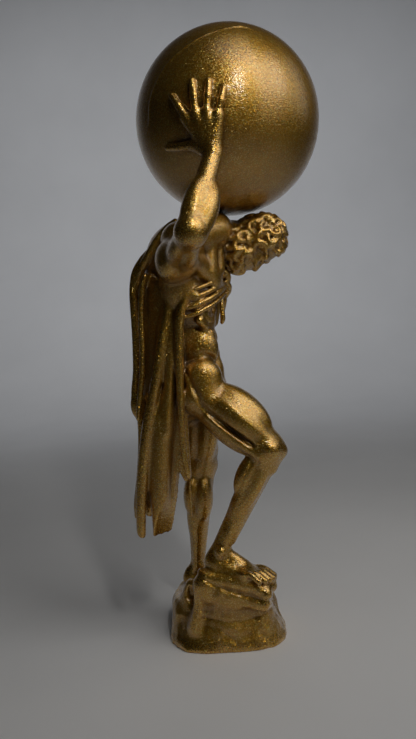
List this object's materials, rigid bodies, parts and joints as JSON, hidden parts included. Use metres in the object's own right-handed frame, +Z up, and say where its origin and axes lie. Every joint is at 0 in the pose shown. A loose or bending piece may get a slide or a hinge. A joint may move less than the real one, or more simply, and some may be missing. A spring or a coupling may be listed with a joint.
{
  "type": "atlas statue",
  "caption": "Standing bearded figure in a cloak that carries a globe on its shoulders, one foot raised on a low rock, printed in one piece.",
  "frame": {"origin": "middle of the rock's flat underside", "axes": "+Z up, +X the way the figure faces, its right side at -Y"},
  "size_m": [0.0849, 0.1066, 0.2501],
  "materials": {
    "gold_print": "glittering gold printed plastic with fine level layer lines"
  },
  "bodies": {
    "root": {"statue": "gold_print"}
  },
  "joints": []
}
